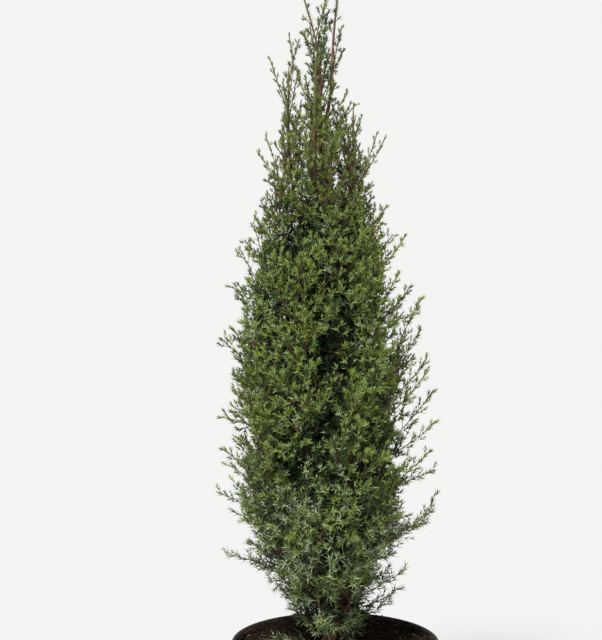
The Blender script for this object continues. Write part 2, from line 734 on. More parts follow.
def side_shoots(parents, rng, rule):
    """Strands that leave every parent at an even pitch along its span, dealt round it by the
    golden angle. Way is cos(a) ahead + sin(a) (cos(turn) across + sin(turn) up), with the pull
    outwards and the lift upwards added. The angle a and the length pass evenly from the parent's
    foot to its tip. Each starts at its parent's bark."""
    span = rule.span[1] - rule.span[0]
    counts = np.maximum(1, np.round(parents.length * span / rule.pitch)).astype(int)
    owner, place = dealt(counts)
    within = (place + rng.uniform(*PLACE_JITTER, len(owner))) / counts[owner]
    s = (rule.span[0] + span * within)[:, None]
    family = picked(parents, owner)
    root = strand_points(family, s)[:, 0]
    ahead, across, up = (axis[:, 0] for axis in strand_frames(family, s))
    passed = eased(root[:, 2], rule.passes)[:, None]
    mixed = np.array(rule.low) * (1 - passed) + np.array(rule.high) * passed
    habit = Habit(*mixed.T[..., None])
    turn = (rng.uniform(0, 2 * math.pi, len(counts))[owner] + place * GOLDEN_ANGLE)[:, None]
    opening = habit.opening_foot + (habit.opening_tip - habit.opening_foot) * s
    angle = np.radians(opening) * rng.uniform(*ANGLE_SPREAD, s.shape)
    side = np.cos(turn) * across + np.sin(turn) * up
    pull, lift = habit.pull * outward_from_axis(root), habit.lift * UPRIGHT
    way = unit(np.cos(angle) * ahead + np.sin(angle) * side + pull + lift)
    reach = habit.reach_foot + (habit.reach_tip - habit.reach_foot) * s
    length = reach * rng.uniform(*REACH_SPREAD, s.shape)
    bend = habit.curl * rng.uniform(*CURL_SPREAD, s.shape) * UPRIGHT + rng.normal(0, WANDER, way.shape)
    bark = family.radius[:, None] + (family.tip_radius - family.radius)[:, None] * s
    count = len(owner)
    return Strands(
        root + way * bark, way, bend, length[:, 0], np.full(count, rule.radii[0]),
        np.full(count, rule.radii[1]), family.plume, family.past, family.shade,
    )


# %% [markdown]
# ## Long shoots at the outline
#
# What gives this shrub its own silhouette is a few dozen long shoots that stand out of the dense
# head like small flames. They are set by where their tips are, as a real width and height, and by
# how far each tip leans from upright. The photograph shows only those at the sides, so each has a
# partner of its own at the front or the back.

# %% Tips of the long shoots
# Each tip's distance to the right of the pot's middle, its height, and its lean in degrees.
LEFT_TIPS = (
    (-0.0443, 0.978, 30), (-0.059, 0.973, 14), (-0.082, 0.947, 17), (-0.048, 0.934, 10),
    (-0.067, 0.918, 12), (-0.068, 0.880, 20), (-0.068, 0.858, 10), (-0.088, 0.854, 22),
    (-0.100, 0.834, 34), (-0.0915, 0.798, 50), (-0.103, 0.757, 35), (-0.136, 0.665, 68),
    (-0.131, 0.617, 40), (-0.126, 0.575, 50), (-0.131, 0.561, 50), (-0.133, 0.537, 52),
    (-0.127, 0.474, 60), (-0.145, 0.463, 55), (-0.138, 0.440, 60), (-0.152, 0.412, 66),
    (-0.132, 0.385, 60), (-0.110, 0.347, 60), (-0.143, 0.330, 76), (-0.088, 0.216, 94),
)
RIGHT_TIPS = (
    (-0.0106, 1.000, 15), (0.0075, 0.984, 14), (0.011, 0.957, 25), (0.0162, 0.906, 32),
    (0.0198, 0.891, 28), (0.030, 0.870, 22), (0.051, 0.856, 14), (0.060, 0.850, 24),
    (0.026, 0.838, 20), (0.038, 0.828, 22), (0.050, 0.768, 22), (0.063, 0.769, 26),
    (0.086, 0.732, 28), (0.079, 0.686, 24), (0.093, 0.667, 29), (0.083, 0.655, 30),
    (0.109, 0.651, 32), (0.107, 0.613, 30), (0.089, 0.608, 35), (0.114, 0.580, 30),
    (0.116, 0.562, 35), (0.124, 0.535, 34), (0.127, 0.499, 42), (0.120, 0.465, 40),
    (0.128, 0.434, 68), (0.123, 0.412, 10), (0.121, 0.386, 30), (0.120, 0.361, 88),
    (0.092, 0.315, 55), (0.084, 0.290, 50), (0.076, 0.266, 58),
)
print(len(LEFT_TIPS), "tips at the left and", len(RIGHT_TIPS), "at the right")

# %% A partner for each tip
TIP_DEPTHS = (-0.02, 0.02)
PARTNER_TURN = (62.0, 118.0)
PARTNER_SHARE = 0.86
PARTNERS_BELOW = 0.970


def tip_places(rng):
    """The tips' places and leans. A partner's is the same tip, turned round the crown's axis to
    the front or the back in turns, and a little nearer to the axis. The highest have none."""
    x, z, lean = np.array(LEFT_TIPS + RIGHT_TIPS).T
    seen = np.stack([x, rng.uniform(*TIP_DEPTHS, len(x)), z], axis=1)
    out = seen - crown_axis(z)
    turn = np.radians(rng.uniform(*PARTNER_TURN, len(x)))
    turn[::2] *= -1
    partner = np.stack([*turned(out[:, 0], out[:, 1], turn), 0 * turn], axis=1)
    paired = z < PARTNERS_BELOW
    tips = np.concatenate([seen, (crown_axis(z) + PARTNER_SHARE * partner)[paired]])
    return tips, np.radians(np.concatenate([lean, lean[paired]]))[:, None]


# %% Long shoots
LONG_LENGTH = 0.072
LONG_RISE, HIGH_START_COST = 0.030, 2.0
LONG_RADII = (0.0009, 0.0004)
LONG_PAST = 0.040
LAST_NEEDLES = 0.006


def long_shoots(rng):
    """A strand to just short of each tip, where its last needles reach on. It starts at the sample
    of a stem or a leading limb that is nearest to a full length back along the tip's lean, where a
    sample that is hardly below the tip counts as further away. With run r, length L and end
    direction e, way is 2 r / L - e and curl is 2 (e - r / L), so that it ends along e."""
    tips, lean = tip_places(rng)
    end_way = np.sin(lean) * outward_from_axis(tips) + np.cos(lean) * UPRIGHT
    tips = tips - LAST_NEEDLES * end_way
    samples = np.concatenate([stem_samples.reshape(-1, 3), sampled_limbs[0][0], sampled_limbs[-1][0]])
    away = distances(tips - LONG_LENGTH * end_way, samples)
    too_high = np.maximum(0, samples[None, :, 2] - (tips[:, None, 2] - LONG_RISE))
    nearest = (away + HIGH_START_COST * too_high).argmin(axis=1)
    run = tips - samples[nearest]
    length = np.linalg.norm(run, axis=1)
    share = run / length[:, None]
    count = len(tips)
    return Strands(
        samples[nearest], 2 * share - end_way, 2 * (end_way - share), length,
        np.full(count, LONG_RADII[0]), np.full(count, LONG_RADII[1]),
        plume_distances(samples[nearest]).argmin(axis=1), np.full(count, LONG_PAST),
        np.zeros(count, int),
    )


# %% [markdown]
# ## Growing the head
#
# Twigs leave each stem, reach for the outline and bend up, and some stray further out. Inner twigs
# on the boughs and the trunk fill the middle, and at the foot they droop to the soil. Shoots of
# one to three centimetres cover the twigs, and short spurs stand on the longer shoots. Near the
# top the photograph shows sky between the shoots, so a part is left out there, more with height.
# A few bays of sky also cut into the outline at the sides, and no tip ends in one of them. The
# right side is lacier than the left, so a share of its outermost sprays is left out too.

# %% The rules of growth
# A rule's numbers are its pitch, span, radii and heights, and then the low habit and the high one.
TWIG_RADII, SHOOT_RADII = (0.0008, 0.0004), (0.00045, 0.00025)
TWIG_RULE = Rule(
    0.0044, (0.02, 0.97), TWIG_RADII, (0.64, 0.82),
    Habit(72.0, 26.0, 0.078, 0.036, 0.22, 0.12, 0.50),
    Habit(46.0, 20.0, 0.082, 0.046, 0.10, 0.15, 0.30),
)
INNER_RULE = Rule(
    0.0046, (0.03, 1.0), TWIG_RADII, (0.26, 0.33),
    Habit(88.0, 84.0, 0.038, 0.036, 0.20, -0.45, 0.25),
    Habit(78.0, 60.0, 0.034, 0.055, 0.10, 0.00, 0.35),
)
SHOOT_RULE = Rule(
    0.0048, (0.12, 0.98), SHOOT_RADII, (0.64, 0.82),
    Habit(58.0, 32.0, 0.027, 0.011, 0.10, 0.10, 0.45),
    Habit(54.0, 34.0, 0.014, 0.007, 0.04, 0.12, 0.20),
)
TUFT_RULE = Rule(
    0.0062, (0.20, 0.97), SHOOT_RADII, (0.58, 0.78),
    Habit(46.0, 26.0, 0.019, 0.008, 0.05, 0.10, 0.35),
    Habit(40.0, 24.0, 0.011, 0.006, 0.02, 0.15, 0.25),
)
SPUR_RULE = Rule(
    0.0060, (0.25, 0.85), SHOOT_RADII, (0.64, 0.82),
    Habit(52.0, 38.0, 0.009, 0.005, 0.05, 0.10, 0.35),
    Habit(40.0, 30.0, 0.006, 0.004, 0.05, 0.10, 0.35),
)
print("a twig for each", TWIG_RULE.pitch, "m of stem, a shoot for each", SHOOT_RULE.pitch, "of twig")

# %% How far past the outline
STEM_PAST = 0.014
OPEN_TOP, PAST_LOST_AT_TOP = (0.70, 0.84), 0.5
FOOT_HEIGHTS, FOOT_TRIM = (0.27, 0.34), 0.010


def trimmed(past, height):
    """How far past the outline strands may stand, with a share of it lost at the open top and a
    fixed amount at the narrow foot."""
    past = past * (1 - PAST_LOST_AT_TOP * eased(height, OPEN_TOP))
    return past - FOOT_TRIM * (1 - eased(height, FOOT_HEIGHTS))


def by_nearest_plume(strands, past):
    """The strands, each in the plume whose stem is nearest to its start."""
    nearest = plume_distances(strands.start).argmin(axis=1)
    past = trimmed(np.full(len(nearest), past), strands.start[:, 2])
    return strands._replace(plume=nearest, past=past)


# %% Limbs as strands
def middle_through(foot, half_way, tip):
    """The middle of a Bezier curve that passes a point half way: twice that point, less the mean
    of the ends."""
    return 2 * half_way - (foot + tip) / 2


def trunk_sections(low, high, count):
    """The trunk between two heights as strands end to end."""
    heights = np.linspace(low, high, 2 * count + 1)
    centres = np.array([trunk_centre(h) for h in heights])
    bark = np.array([trunk_radius(h) for h in heights])
    foot, tip = centres[:-2:2], centres[2::2]
    middle = middle_through(foot, centres[1:-1:2], tip)
    return curves(foot, middle, tip, (bark[:-2:2], bark[2::2]), np.zeros(count, int))


def second_leader():
    """The second leading limb as one strand, by way of its point half way."""
    points, radii = limbs[-1][1:]
    middle = middle_through(points[:1], points[len(points) // 2][None], points[-1:])
    return curves(points[:1], middle, points[-1:], radii[[0, -1]], np.zeros(1, int))


# %% Limbs that carry inner twigs
TRUNK_CLAD = (0.240, 0.700)
TRUNK_SECTIONS = 5
SKIRT = slice(0, TIERS[0].count)


def clad_limbs():
    """The limbs that carry inner twigs, as strands: the boughs by way of the bend that the plan
    gives them, and the lower trunk. The skirt's boughs come first, and once more at the end, for
    twice the twigs, because the foot is full."""
    lines = [(points, radii) for name, points, radii in limbs if name.startswith("bough")]
    foot, tip = (np.array([points[k] for points, _ in lines]) for k in (0, -1))
    rise = tip - foot
    bend_height = tip[:, 2] - BOUGH_UPRIGHT * rise[:, 2]
    bend = np.column_stack([foot[:, :2] + BOUGH_BEND * rise[:, :2], bend_height])
    end_radii = np.array([radii[[0, -1]] for _, radii in lines]).T
    boughs = curves(foot, bend, tip, end_radii, np.arange(len(lines)))
    trunk = trunk_sections(*TRUNK_CLAD, TRUNK_SECTIONS)
    return by_nearest_plume(joined(boughs, trunk, picked(boughs, SKIRT)), STEM_PAST)


# %% Shares left out by height
# The share that is left out at each height.
TWIGS_LEFT_OUT = (
    (0.20, 0.0), (0.72, 0.0), (0.79, 0.22), (0.86, 0.54), (0.90, 0.66), (0.95, 0.82), (1.03, 0.90),
)
SHOOTS_LEFT_OUT = (
    (0.20, 0.10), (0.27, 0.10), (0.32, 0.04), (0.38, 0.0),
    (0.74, 0.02), (0.82, 0.20), (0.92, 0.26), (1.03, 0.30),
)


def thinned(strands, rng, left_out):
    """The strands that stay when a share is left out, by the height where each starts."""
    share = smooth(left_out, strands.start[:, 2])
    return picked(strands, rng.uniform(0, 1, len(share)) > share)


# %% Bays of open sky
# Each bay of open sky: its distance to the right of the pot's middle, its height and its radius.
BAYS = (
    (-0.070, 0.825, 0.009), (-0.097, 0.720, 0.009), (-0.104, 0.688, 0.010), (-0.109, 0.487, 0.007),
    (0.088, 0.375, 0.008), (0.058, 0.320, 0.008), (0.050, 0.272, 0.012),
)


def clear_of_bays(strands):
    """The strands whose tips don't end in a bay, seen from the front. A bay is a disc with its
    middle at (x, z)."""
    tips = straight_tips(strands)
    x, z, radius = np.array(BAYS).T
    away = np.hypot(tips[:, None, 0] - x, tips[:, None, 2] - z)
    return picked(strands, (away > radius).all(axis=1))


print(len(BAYS), "bays of open sky")

# %% Lace at the right and a clear foot
LACE_EDGE, LACE_TOP, LACE_SHARE = (0.60, 0.90), 0.700, 0.45
FOOT_WINDOW, FOOT_WINDOW_TOP, LYING_TOP, FOOT_KEPT = 0.007, 0.300, 0.236, 0.28


def laced(strands, rng):
    """The strands without a share of those that end at the right side's edge."""
    tips = straight_tips(strands)
    left_out = LACE_SHARE * eased(rightness(tips), LACE_EDGE) * (tips[:, 2] < LACE_TOP)
    return picked(strands, rng.uniform(0, 1, len(tips)) > left_out)


def clear_of_foot(strands, rng):
    """The strands without most of those that would lie on the soil, or hide the trunk's foot from
    the front: the photograph shows its bark there between the sprays."""
    tips = straight_tips(strands)
    before = (np.abs(tips[:, 0] - smooth(TRUNK_LEAN, tips[:, 2])) < FOOT_WINDOW) & (tips[:, 1] < 0)
    hides = before & (tips[:, 2] < FOOT_WINDOW_TOP) | (tips[:, 2] < LYING_TOP)
    return picked(strands, ~hides | (rng.uniform(0, 1, len(hides)) < FOOT_KEPT))


# %% Twigs, shoots and spurs
TWIG_PAST = (-0.008, 0.006)
TWIG_LUMP = 0.010
STRAY_EACH = 7
STRAY_PAST = (0.014, 0.024)
SHOOT_PAST = 0.003
SHOOT_VARIETY = (0.4, 1.25)
SPUR_PARENT = 0.015
SHORTEST_TWIG, SHORTEST_SHOOT = 0.008, 0.004
TWIG_SAMPLES, SHOOT_SAMPLES = 12, 3
SKIRT_SHOOTS = 3
LEADER_CLAD = (0.700, 0.930)
LEADER_SECTIONS = 2


def grow_head():
    """Twigs on the stems and inside, long shoots, shoots on all of these, and spurs on shoots."""
    rng = np.random.default_rng(FIRST_SEED)
    twigs = side_shoots(stems, rng, TWIG_RULE)
    tips = straight_tips(twigs)
    past = rng.uniform(*TWIG_PAST, len(twigs.length)) + TWIG_LUMP * lumps(tips)
    past[::STRAY_EACH] = rng.uniform(*STRAY_PAST, len(past[::STRAY_EACH]))
    twigs = cut_to_room(twigs._replace(past=trimmed(past, tips[:, 2])), TWIG_SAMPLES, SHORTEST_TWIG)
    twigs = laced(clear_of_bays(thinned(twigs, rng, TWIGS_LEFT_OUT)), rng)
    leaders = joined(trunk_sections(*LEADER_CLAD, LEADER_SECTIONS), second_leader())
    clad = clad_limbs()
    inner = joined(side_shoots(clad, rng, INNER_RULE), side_shoots(leaders, rng, TWIG_RULE))
    inner = cut_to_room(by_nearest_plume(inner, STEM_PAST), TWIG_SAMPLES, SHORTEST_TWIG)
    inner = clear_of_bays(clear_of_foot(thinned(inner, rng, TWIGS_LEFT_OUT), rng))
    long = long_shoots(rng)
    bare_skirt = [picked(clad, SKIRT)] * SKIRT_SHOOTS
    parents = joined(twigs, inner, stems._replace(past=np.full(len(plumes), STEM_PAST)), *bare_skirt)
    shoots = side_shoots(parents, rng, SHOOT_RULE)
    shoots = thinned(shoots, rng, SHOOTS_LEFT_OUT)
    shoots = shoots._replace(length=shoots.length * rng.uniform(*SHOOT_VARIETY, len(shoots.length)))
    shoots = cut_to_room(shoots._replace(past=shoots.past + SHOOT_PAST), SHOOT_SAMPLES, SHORTEST_SHOOT)
    shoots = laced(clear_of_bays(clear_of_foot(shoots, rng)), rng)
    spurs = side_shoots(picked(shoots, shoots.length > SPUR_PARENT), rng, SPUR_RULE)
    tufts = side_shoots(long, rng, TUFT_RULE)
    tufts = picked(tufts, over_soil(straight_tips(tufts)))
    return joined(twigs, inner, long), joined(shoots, spurs, tufts)


twigs, shoots = grow_head()
print(len(twigs.length), "twigs,", round(float(twigs.length.sum()), 1), "m in all")
print(len(shoots.length), "shoots,", round(float(shoots.length.sum()), 1), "m in all")

# %% [markdown]
# ## Colours of the foliage
#
# The photograph shows yellow-green young tips outside, darker green within, and a blue cast low
# down. A needle's upper face has a pale waxy band. Paint by an image could do this, but plain
# colours are sharper and simpler: each spray draws one of a few greens, by its height and by how
# far out it stands, and the needle's upper face takes the paler partner of its green. Greens are
# warmer where the head bulges, and lighter on the lacy right side, where light gets in.

# %% Greens
GREENS = {
    "young": (0.265, 0.335, 0.042),
    "fresh": (0.140, 0.200, 0.028),
    "mid": (0.064, 0.090, 0.015),
    "deep": (0.033, 0.062, 0.019),
    "blue": (0.055, 0.087, 0.036),
    "olive": (0.120, 0.116, 0.024),
    "dry": (0.105, 0.062, 0.028),
    "inner": (0.020, 0.043, 0.018),
}
BANDS = {
    "soft_band": (0.215, 0.295, 0.085),
    "pale_band": (0.290, 0.360, 0.190),
}
NEEDLE_ROUGHNESS, NEEDLE_SPECULAR = 0.42, 0.3
# The colour of a needle's upper face, for each green in turn.
BAND_OF = ("soft_band", "soft_band", "soft_band", "blue", "pale_band", "fresh", "dry", "inner")

GREEN_NAMES = list(GREENS)
SLOT_NAMES = list(GREENS | BANDS)
BAND_SLOTS = np.array([SLOT_NAMES.index(band) for band in BAND_OF])

needle_finishes = [
    plain_finish(f"needles_{name}", colour, NEEDLE_ROUGHNESS, Specular_IOR_Level=NEEDLE_SPECULAR)
    for name, colour in (GREENS | BANDS).items()
]
print(len(GREENS), "greens and", len(BANDS), "pale bands")

# %% The chance of each green
EDGE_START, EDGE_SPAN = 0.62, 0.42
BLUE_HEIGHTS, DARK_FOOT_HEIGHTS = (0.28, 0.50), (0.23, 0.28)
YOUNG_BASE, YOUNG_EDGE = 0.03, 0.24
FRESH_BASE, FRESH_EDGE, FRESH_LOST_LOW = 0.12, 0.30, 0.8
MID_BASE, MID_LOST_LOW = 0.34, 0.4
DEEP_BASE, DEEP_INSIDE, DEEP_LOW, DEEP_FOOT = 0.10, 0.30, 0.20, 0.45
BLUE_BASE, BLUE_LOW, BLUE_LOST_FOOT, BLUE_INSIDE = 0.03, 0.75, 0.5, 0.34
OLIVE_BASE, OLIVE_TOP = 0.12, 0.62
DRY_BASE, DRY_INSIDE, DRY_FOOT, DRY_TOP = 0.025, 0.05, 0.22, 0.05
LUMP_WARMTH = 0.75
LACE_LIT, LACE_LIGHT = (0.45, 0.70), 0.25


def litness(points):
    """How far out points seem to lie: their outwardness, and more on the lacier right side, where
    light gets in between the sprays."""
    laced_share = eased(rightness(points), LACE_LIT) * (points[:, 2] < LACE_TOP)
    return outwardness(points) + LACE_LIGHT * laced_share


def drawn_shades(strands, rng):
    """One green for each strand, drawn with chances that pass from the inside to the edge of the
    head and from its foot up. A draw from 0 to 1 falls between two sums of the chances."""
    tip = strand_points(strands, np.ones((len(strands.length), 1)))[:, 0]
    edge = np.clip((litness(tip) - EDGE_START) / EDGE_SPAN, 0, 1)
    inside = 1 - edge
    low = 1 - eased(tip[:, 2], BLUE_HEIGHTS)
    foot = 1 - eased(tip[:, 2], DARK_FOOT_HEIGHTS)
    top = eased(tip[:, 2], OPEN_TOP)
    bulge = LUMP_WARMTH * np.tanh(lumps(tip))
    blue = BLUE_BASE + BLUE_LOW * low * (1 - BLUE_LOST_FOOT * foot) + BLUE_INSIDE * inside * (1 - top)
    chances = np.stack([
        (YOUNG_BASE + YOUNG_EDGE * edge * (1 - low)) * (1 + bulge),
        (FRESH_BASE + FRESH_EDGE * edge) * (1 - FRESH_LOST_LOW * low) * (1 + bulge),
        MID_BASE * (1 - MID_LOST_LOW * low),
        (DEEP_BASE + DEEP_INSIDE * inside + DEEP_LOW * low + DEEP_FOOT * foot) * (1 - bulge),
        blue * (1 - bulge),
        (OLIVE_BASE + OLIVE_TOP * top) * (1 + bulge),
        DRY_BASE + DRY_INSIDE * inside + DRY_FOOT * foot + DRY_TOP * top,
    ], axis=1)
    steps = np.cumsum(chances / chances.sum(axis=1, keepdims=True), axis=1)
    return (rng.uniform(0, 1, (len(edge), 1)) > steps).sum(axis=1).clip(0, chances.shape[1] - 1)


# %% Greens of the sprays
KEEPS_FAMILY_COLOUR = 0.7


def shade_head(twigs, shoots):
    """Greens for twigs, and for shoots, which mostly keep the colour of the nearest twig, unless
    that twig is dry: dry needles are scattered, not in patches."""
    rng = np.random.default_rng(SHADE_SEED)
    twigs = twigs._replace(shade=drawn_shades(twigs, rng))
    own = drawn_shades(shoots, rng)
    nearest = np.empty(len(own), int)
    for part in np.array_split(np.arange(len(own)), len(own) // CHUNK + 1):
        nearest[part] = distances(shoots.start[part], twigs.start).argmin(axis=1)
    family = twigs.shade[nearest]
    keep = (rng.uniform(0, 1, len(own)) < KEEPS_FAMILY_COLOUR) & (family != GREEN_NAMES.index("dry"))
    return twigs, shoots._replace(shade=np.where(keep, family, own))


twigs, shoots = shade_head(twigs, shoots)
stems = stems._replace(shade=np.full(len(plumes), GREEN_NAMES.index("fresh")))
print("sprays of each green:", np.bincount(shoots.shade, minlength=len(GREENS)))

# %% [markdown]
# ## Needles
#
# A juniper needle is a stiff awl in a whorl of three, and each whorl is turned by 60 degrees from
# the last. A needle here is a slim pyramid: a flat upper face and a keel below, four faces in all,
# so hundreds of thousands stay light. They spread wide on old wood. Up in the head they crowd,
# close and get shorter and broader at a shoot's tip, which looks like a small club. Low down the
# whorls stay even and open, with long slim needles.

# %% Dark needles deep in the head
INNER_EDGE, INNER_SPREAD, INNER_LUMP = 0.70, 0.08, 0.07


def shaded_within(places, shades, rng):
    """Shades of whorls, where those that lie deep in the head take the dark inner green. The depth
    where that starts varies a little, follows the lumps, and sinks to nothing at the open top."""
    edge = INNER_EDGE + INNER_SPREAD * rng.normal(0, 1, len(places)) + INNER_LUMP * lumps(places)
    deep = litness(places) < edge * (1 - eased(places[:, 2], OPEN_TOP))
    return np.where(deep, GREEN_NAMES.index("inner"), shades)


# %% The shape of a needle
NEEDLE_DEPTH = 0.0009


def awls(base, ahead, flat, length, width, shades):
    """Places, faces and slots of needles. A needle's base is a triangle, two corners to the sides
    of its flat face and one below, and its fourth corner is the point."""
    side = np.cross(ahead, flat)
    half = width[:, None] / 2
    keel = NEEDLE_DEPTH / 2
    corners = np.stack([
        base + side * half + flat * keel,
        base - side * half + flat * keel,
        base - flat * keel,
        base + ahead * length[:, None],
    ], axis=1)
    pattern = np.array([(0, 3, 1), (0, 2, 3), (2, 1, 3), (0, 1, 2)])
    faces = (4 * np.arange(len(base)))[:, None, None] + pattern
    slots = np.stack([BAND_SLOTS[shades], shades, shades, shades], axis=1)
    return corners.reshape(-1, 3), faces.reshape(-1, 3), slots.ravel()


# %% Sizes and angles of needles
WHORL = 3
# Each pair of lengths and of angles is for the inside of the head and for its edge.
NEEDLE_LENGTHS = (0.0130, 0.0090)
NEEDLE_ANGLES = (64.0, 42.0)
NEEDLE_WIDTH = 0.0025
CLOSED_ANGLE = 18.0
ANGLE_JITTER, LENGTH_JITTER = (0.8, 1.2), (0.82, 1.1)
NEEDLE_EDGE_START, NEEDLE_EDGE_SPAN = 0.45, 0.60
TIP_SHORTENING, TIP_WIDENING = 0.48, 0.35
TOP_HEIGHTS, TOP_SHORTENING, TOP_CLOSING = (0.66, 0.86), 0.38, 0.12
LOW_HEIGHTS, LOW_LENGTHENING, LOW_SLIMMING = (0.30, 0.46), 0.26, 0.25


def needle_shapes(root, within, rng):
    """Angles, lengths and widths of the needles of whorls, by where the whorls' roots are and which
    share of the whorls comes before each. They change towards the shoot's tip, and towards the
    edge, the top and the foot of the head."""
    each = (len(root), WHORL)
    edge = np.clip((outwardness(root) - NEEDLE_EDGE_START) / NEEDLE_EDGE_SPAN, 0, 1)[:, None]
    top = eased(root[:, 2], TOP_HEIGHTS)[:, None]
    low = 1 - eased(root[:, 2], LOW_HEIGHTS)[:, None]
    closing = within[:, None] ** (1 + low)
    open_angle = NEEDLE_ANGLES[0] + (NEEDLE_ANGLES[1] - NEEDLE_ANGLES[0]) * edge
    open_angle = open_angle * (1 - TOP_CLOSING * top)
    angle = np.radians(open_angle + (CLOSED_ANGLE - open_angle) * closing)
    angle = angle * rng.uniform(*ANGLE_JITTER, each)
    length = NEEDLE_LENGTHS[0] + (NEEDLE_LENGTHS[1] - NEEDLE_LENGTHS[0]) * edge
    length = length * (1 - TIP_SHORTENING * closing) * (1 - TOP_SHORTENING * top + LOW_LENGTHENING * low)
    length = length * rng.uniform(*LENGTH_JITTER, each)
    width = NEEDLE_WIDTH * (length / NEEDLE_LENGTHS[0]) ** 0.5
    return angle, length, width * (1 - LOW_SLIMMING * low) * (1 + TIP_WIDENING * closing * (1 - low))


print("full needles are", NEEDLE_LENGTHS[1], "to", NEEDLE_LENGTHS[0], "m long")

# %% Whorls of needles
WHORL_PITCH, FEWEST_WHORLS = 0.0050, 2
TURN_JITTER = 0.12
TIP_CROWDING, LOW_SPACING, LOW_EVENING = 0.42, 0.30, 0.38


def needles_on(strands, rng, bare, pitch=WHORL_PITCH):
    """Whorls of needles along strands, bare up to a share of each. Whorl i of n is at the share
    ((i + 1/2) / n) to a power: under 1 it crowds the whorls to the tip. A needle points along
    cos(a) ahead + sin(a) out, and its flat face looks along sin(a) ahead - cos(a) out."""
    start_low = 1 - eased(strands.start[:, 2], LOW_HEIGHTS)
    start_top = eased(strands.start[:, 2], TOP_HEIGHTS)
    pitch = pitch * (1 - TOP_SHORTENING * start_top + LOW_SPACING * start_low)
    counts = np.maximum(FEWEST_WHORLS, np.round(strands.length * (1 - bare) / pitch)).astype(int)
    owner, place = dealt(counts)
    within = (place + 0.5) / counts[owner]
    s = (bare + (1 - bare) * within ** (TIP_CROWDING + LOW_EVENING * start_low[owner]))[:, None]
    family = picked(strands, owner)
    root = strand_points(family, s)[:, 0]
    ahead, across, up = (axis[:, 0][:, None] for axis in strand_frames(family, s))
    turn = (owner * GOLDEN_ANGLE + place * math.pi / WHORL)[:, None]
    turn = turn + np.arange(WHORL) * 2 * math.pi / WHORL + rng.normal(0, TURN_JITTER, (len(owner), WHORL))
    out = np.cos(turn)[..., None] * across + np.sin(turn)[..., None] * up
    angle, length, width = needle_shapes(root, within, rng)
    angle = angle[..., None]
    point_way = np.cos(angle) * ahead + np.sin(angle) * out
    flat = np.sin(angle) * ahead - np.cos(angle) * out
    base = np.broadcast_to(root[:, None], out.shape)
    shades = np.broadcast_to(shaded_within(root, family.shade, rng)[:, None], turn.shape)
    return awls(
        base.reshape(-1, 3), point_way.reshape(-1, 3), flat.reshape(-1, 3),
        length.ravel(), width.ravel(), shades.ravel(),
    )


# %% Which plumes go together in one piece
GROUPS = {
    "skirt": ("skirt",),
    "lower_back": ("lower_1", "lower_2", "lower_3"),
    "lower_front": ("lower_4", "lower_5"),
    "middle_back": ("middle_1", "middle_2", "middle_3"),
    "middle_front": ("middle_4", "middle_5"),
    "upper": ("upper",),
    "spire": ("shoulder", "left_shoot", "right_shoot"),
}


def group_nodes(group):
    """The numbers and the names of the plumes in a group."""
    starts = tuple(f"foliage_{part}" for part in GROUPS[group])
    numbers = [i for i, plume in enumerate(plumes) if plume.name.startswith(starts)]
    return numbers, [plumes[i].name for i in numbers]


def of_plumes(strands, numbers):
    """The strands that belong to the plumes of some numbers."""
    return picked(strands, np.isin(strands.plume, numbers))


print(len(GROUPS), "groups:", ", ".join(GROUPS))

# %% Needles of each group
# A piece stays under this number of triangles.
PIECE_LIMIT = 200000
SHOOT_BARE, TWIG_BARE, STEM_BARE = 0.04, 0.25, 0.35
TWIG_WHORL_PITCH = 1.5 * WHORL_PITCH


def add_needles(group):
    """The needles of one group of plumes, as one piece that stands for those plumes' nodes."""
    rng = np.random.default_rng(NEEDLE_SEED)
    numbers, names = group_nodes(group)
    sets = [
        needles_on(of_plumes(shoots, numbers), rng, SHOOT_BARE),
        needles_on(of_plumes(twigs, numbers), rng, TWIG_BARE, TWIG_WHORL_PITCH),
        needles_on(of_plumes(stems, numbers), rng, STEM_BARE),
    ]
    places, faces = merged([(places, [faces]) for places, faces, _ in sets])
    slots = np.concatenate([slots for _, _, slots in sets])
    piece = new_piece(f"needles_{group}", places, faces, needle_finishes, slots)
    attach(piece, "root")
    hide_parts(*names)
    return len(slots)


needle_faces = {group: add_needles(group) for group in GROUPS}
print("needles in all:", sum(needle_faces.values()) // 4, "largest piece:", max(needle_faces.values()))
assert max(needle_faces.values()) < PIECE_LIMIT

# %% [markdown]
# ## Wood of stems, twigs and shoots
#
# The thin wood shows as red-brown lines between the needles, greener on this year's shoots. Each
# strand is a tube that ends in a point. Three sides are enough for twigs and shoots, which are
# under 2 mm thick, and the stems of the plumes get six.

# %% Tubes along strands
def tubes(strands, rings, sides):
    """Places and faces of tapering tubes: rings of points square to the strand, then one point at
    the tip, and one face that closes the foot. A ring's point is the strand's own point plus the
    radius there times its spoke."""
    count = len(strands.length)
    s = np.tile(np.linspace(0, 1, rings + 1), (count, 1))
    middle = strand_points(strands, s)
    _, across, up = strand_frames(strands, s)
    radius = strands.radius[:, None] + (strands.tip_radius - strands.radius)[:, None] * s
    ring = middle[:, :, None] + radius[:, :, None, None] * spokes(across, up, sides)
    places = np.concatenate([ring[:, :-1].reshape(count, -1, 3), middle[:, -1:]], axis=1)
    each = rings * sides + 1
    first = np.arange(count) * each
    tips = first[:, None, None] + fan((rings - 1) * sides, sides, each - 1)
    feet = first[:, None] + np.arange(sides)[::-1]
    return places.reshape(-1, 3), [ring_faces(first, rings, sides), tips.reshape(-1, 3), feet]


# %% Thin wood
WOOD_ROUGHNESS = 0.8
# Each wood's colour, and the rings and sides of its tubes.
WOODS = {
    "stem_wood": ((0.125, 0.064, 0.034), 12, 6),
    "twig_wood": ((0.110, 0.062, 0.034), 4, 3),
    "shoot_wood": ((0.095, 0.095, 0.038), 2, 3),
}


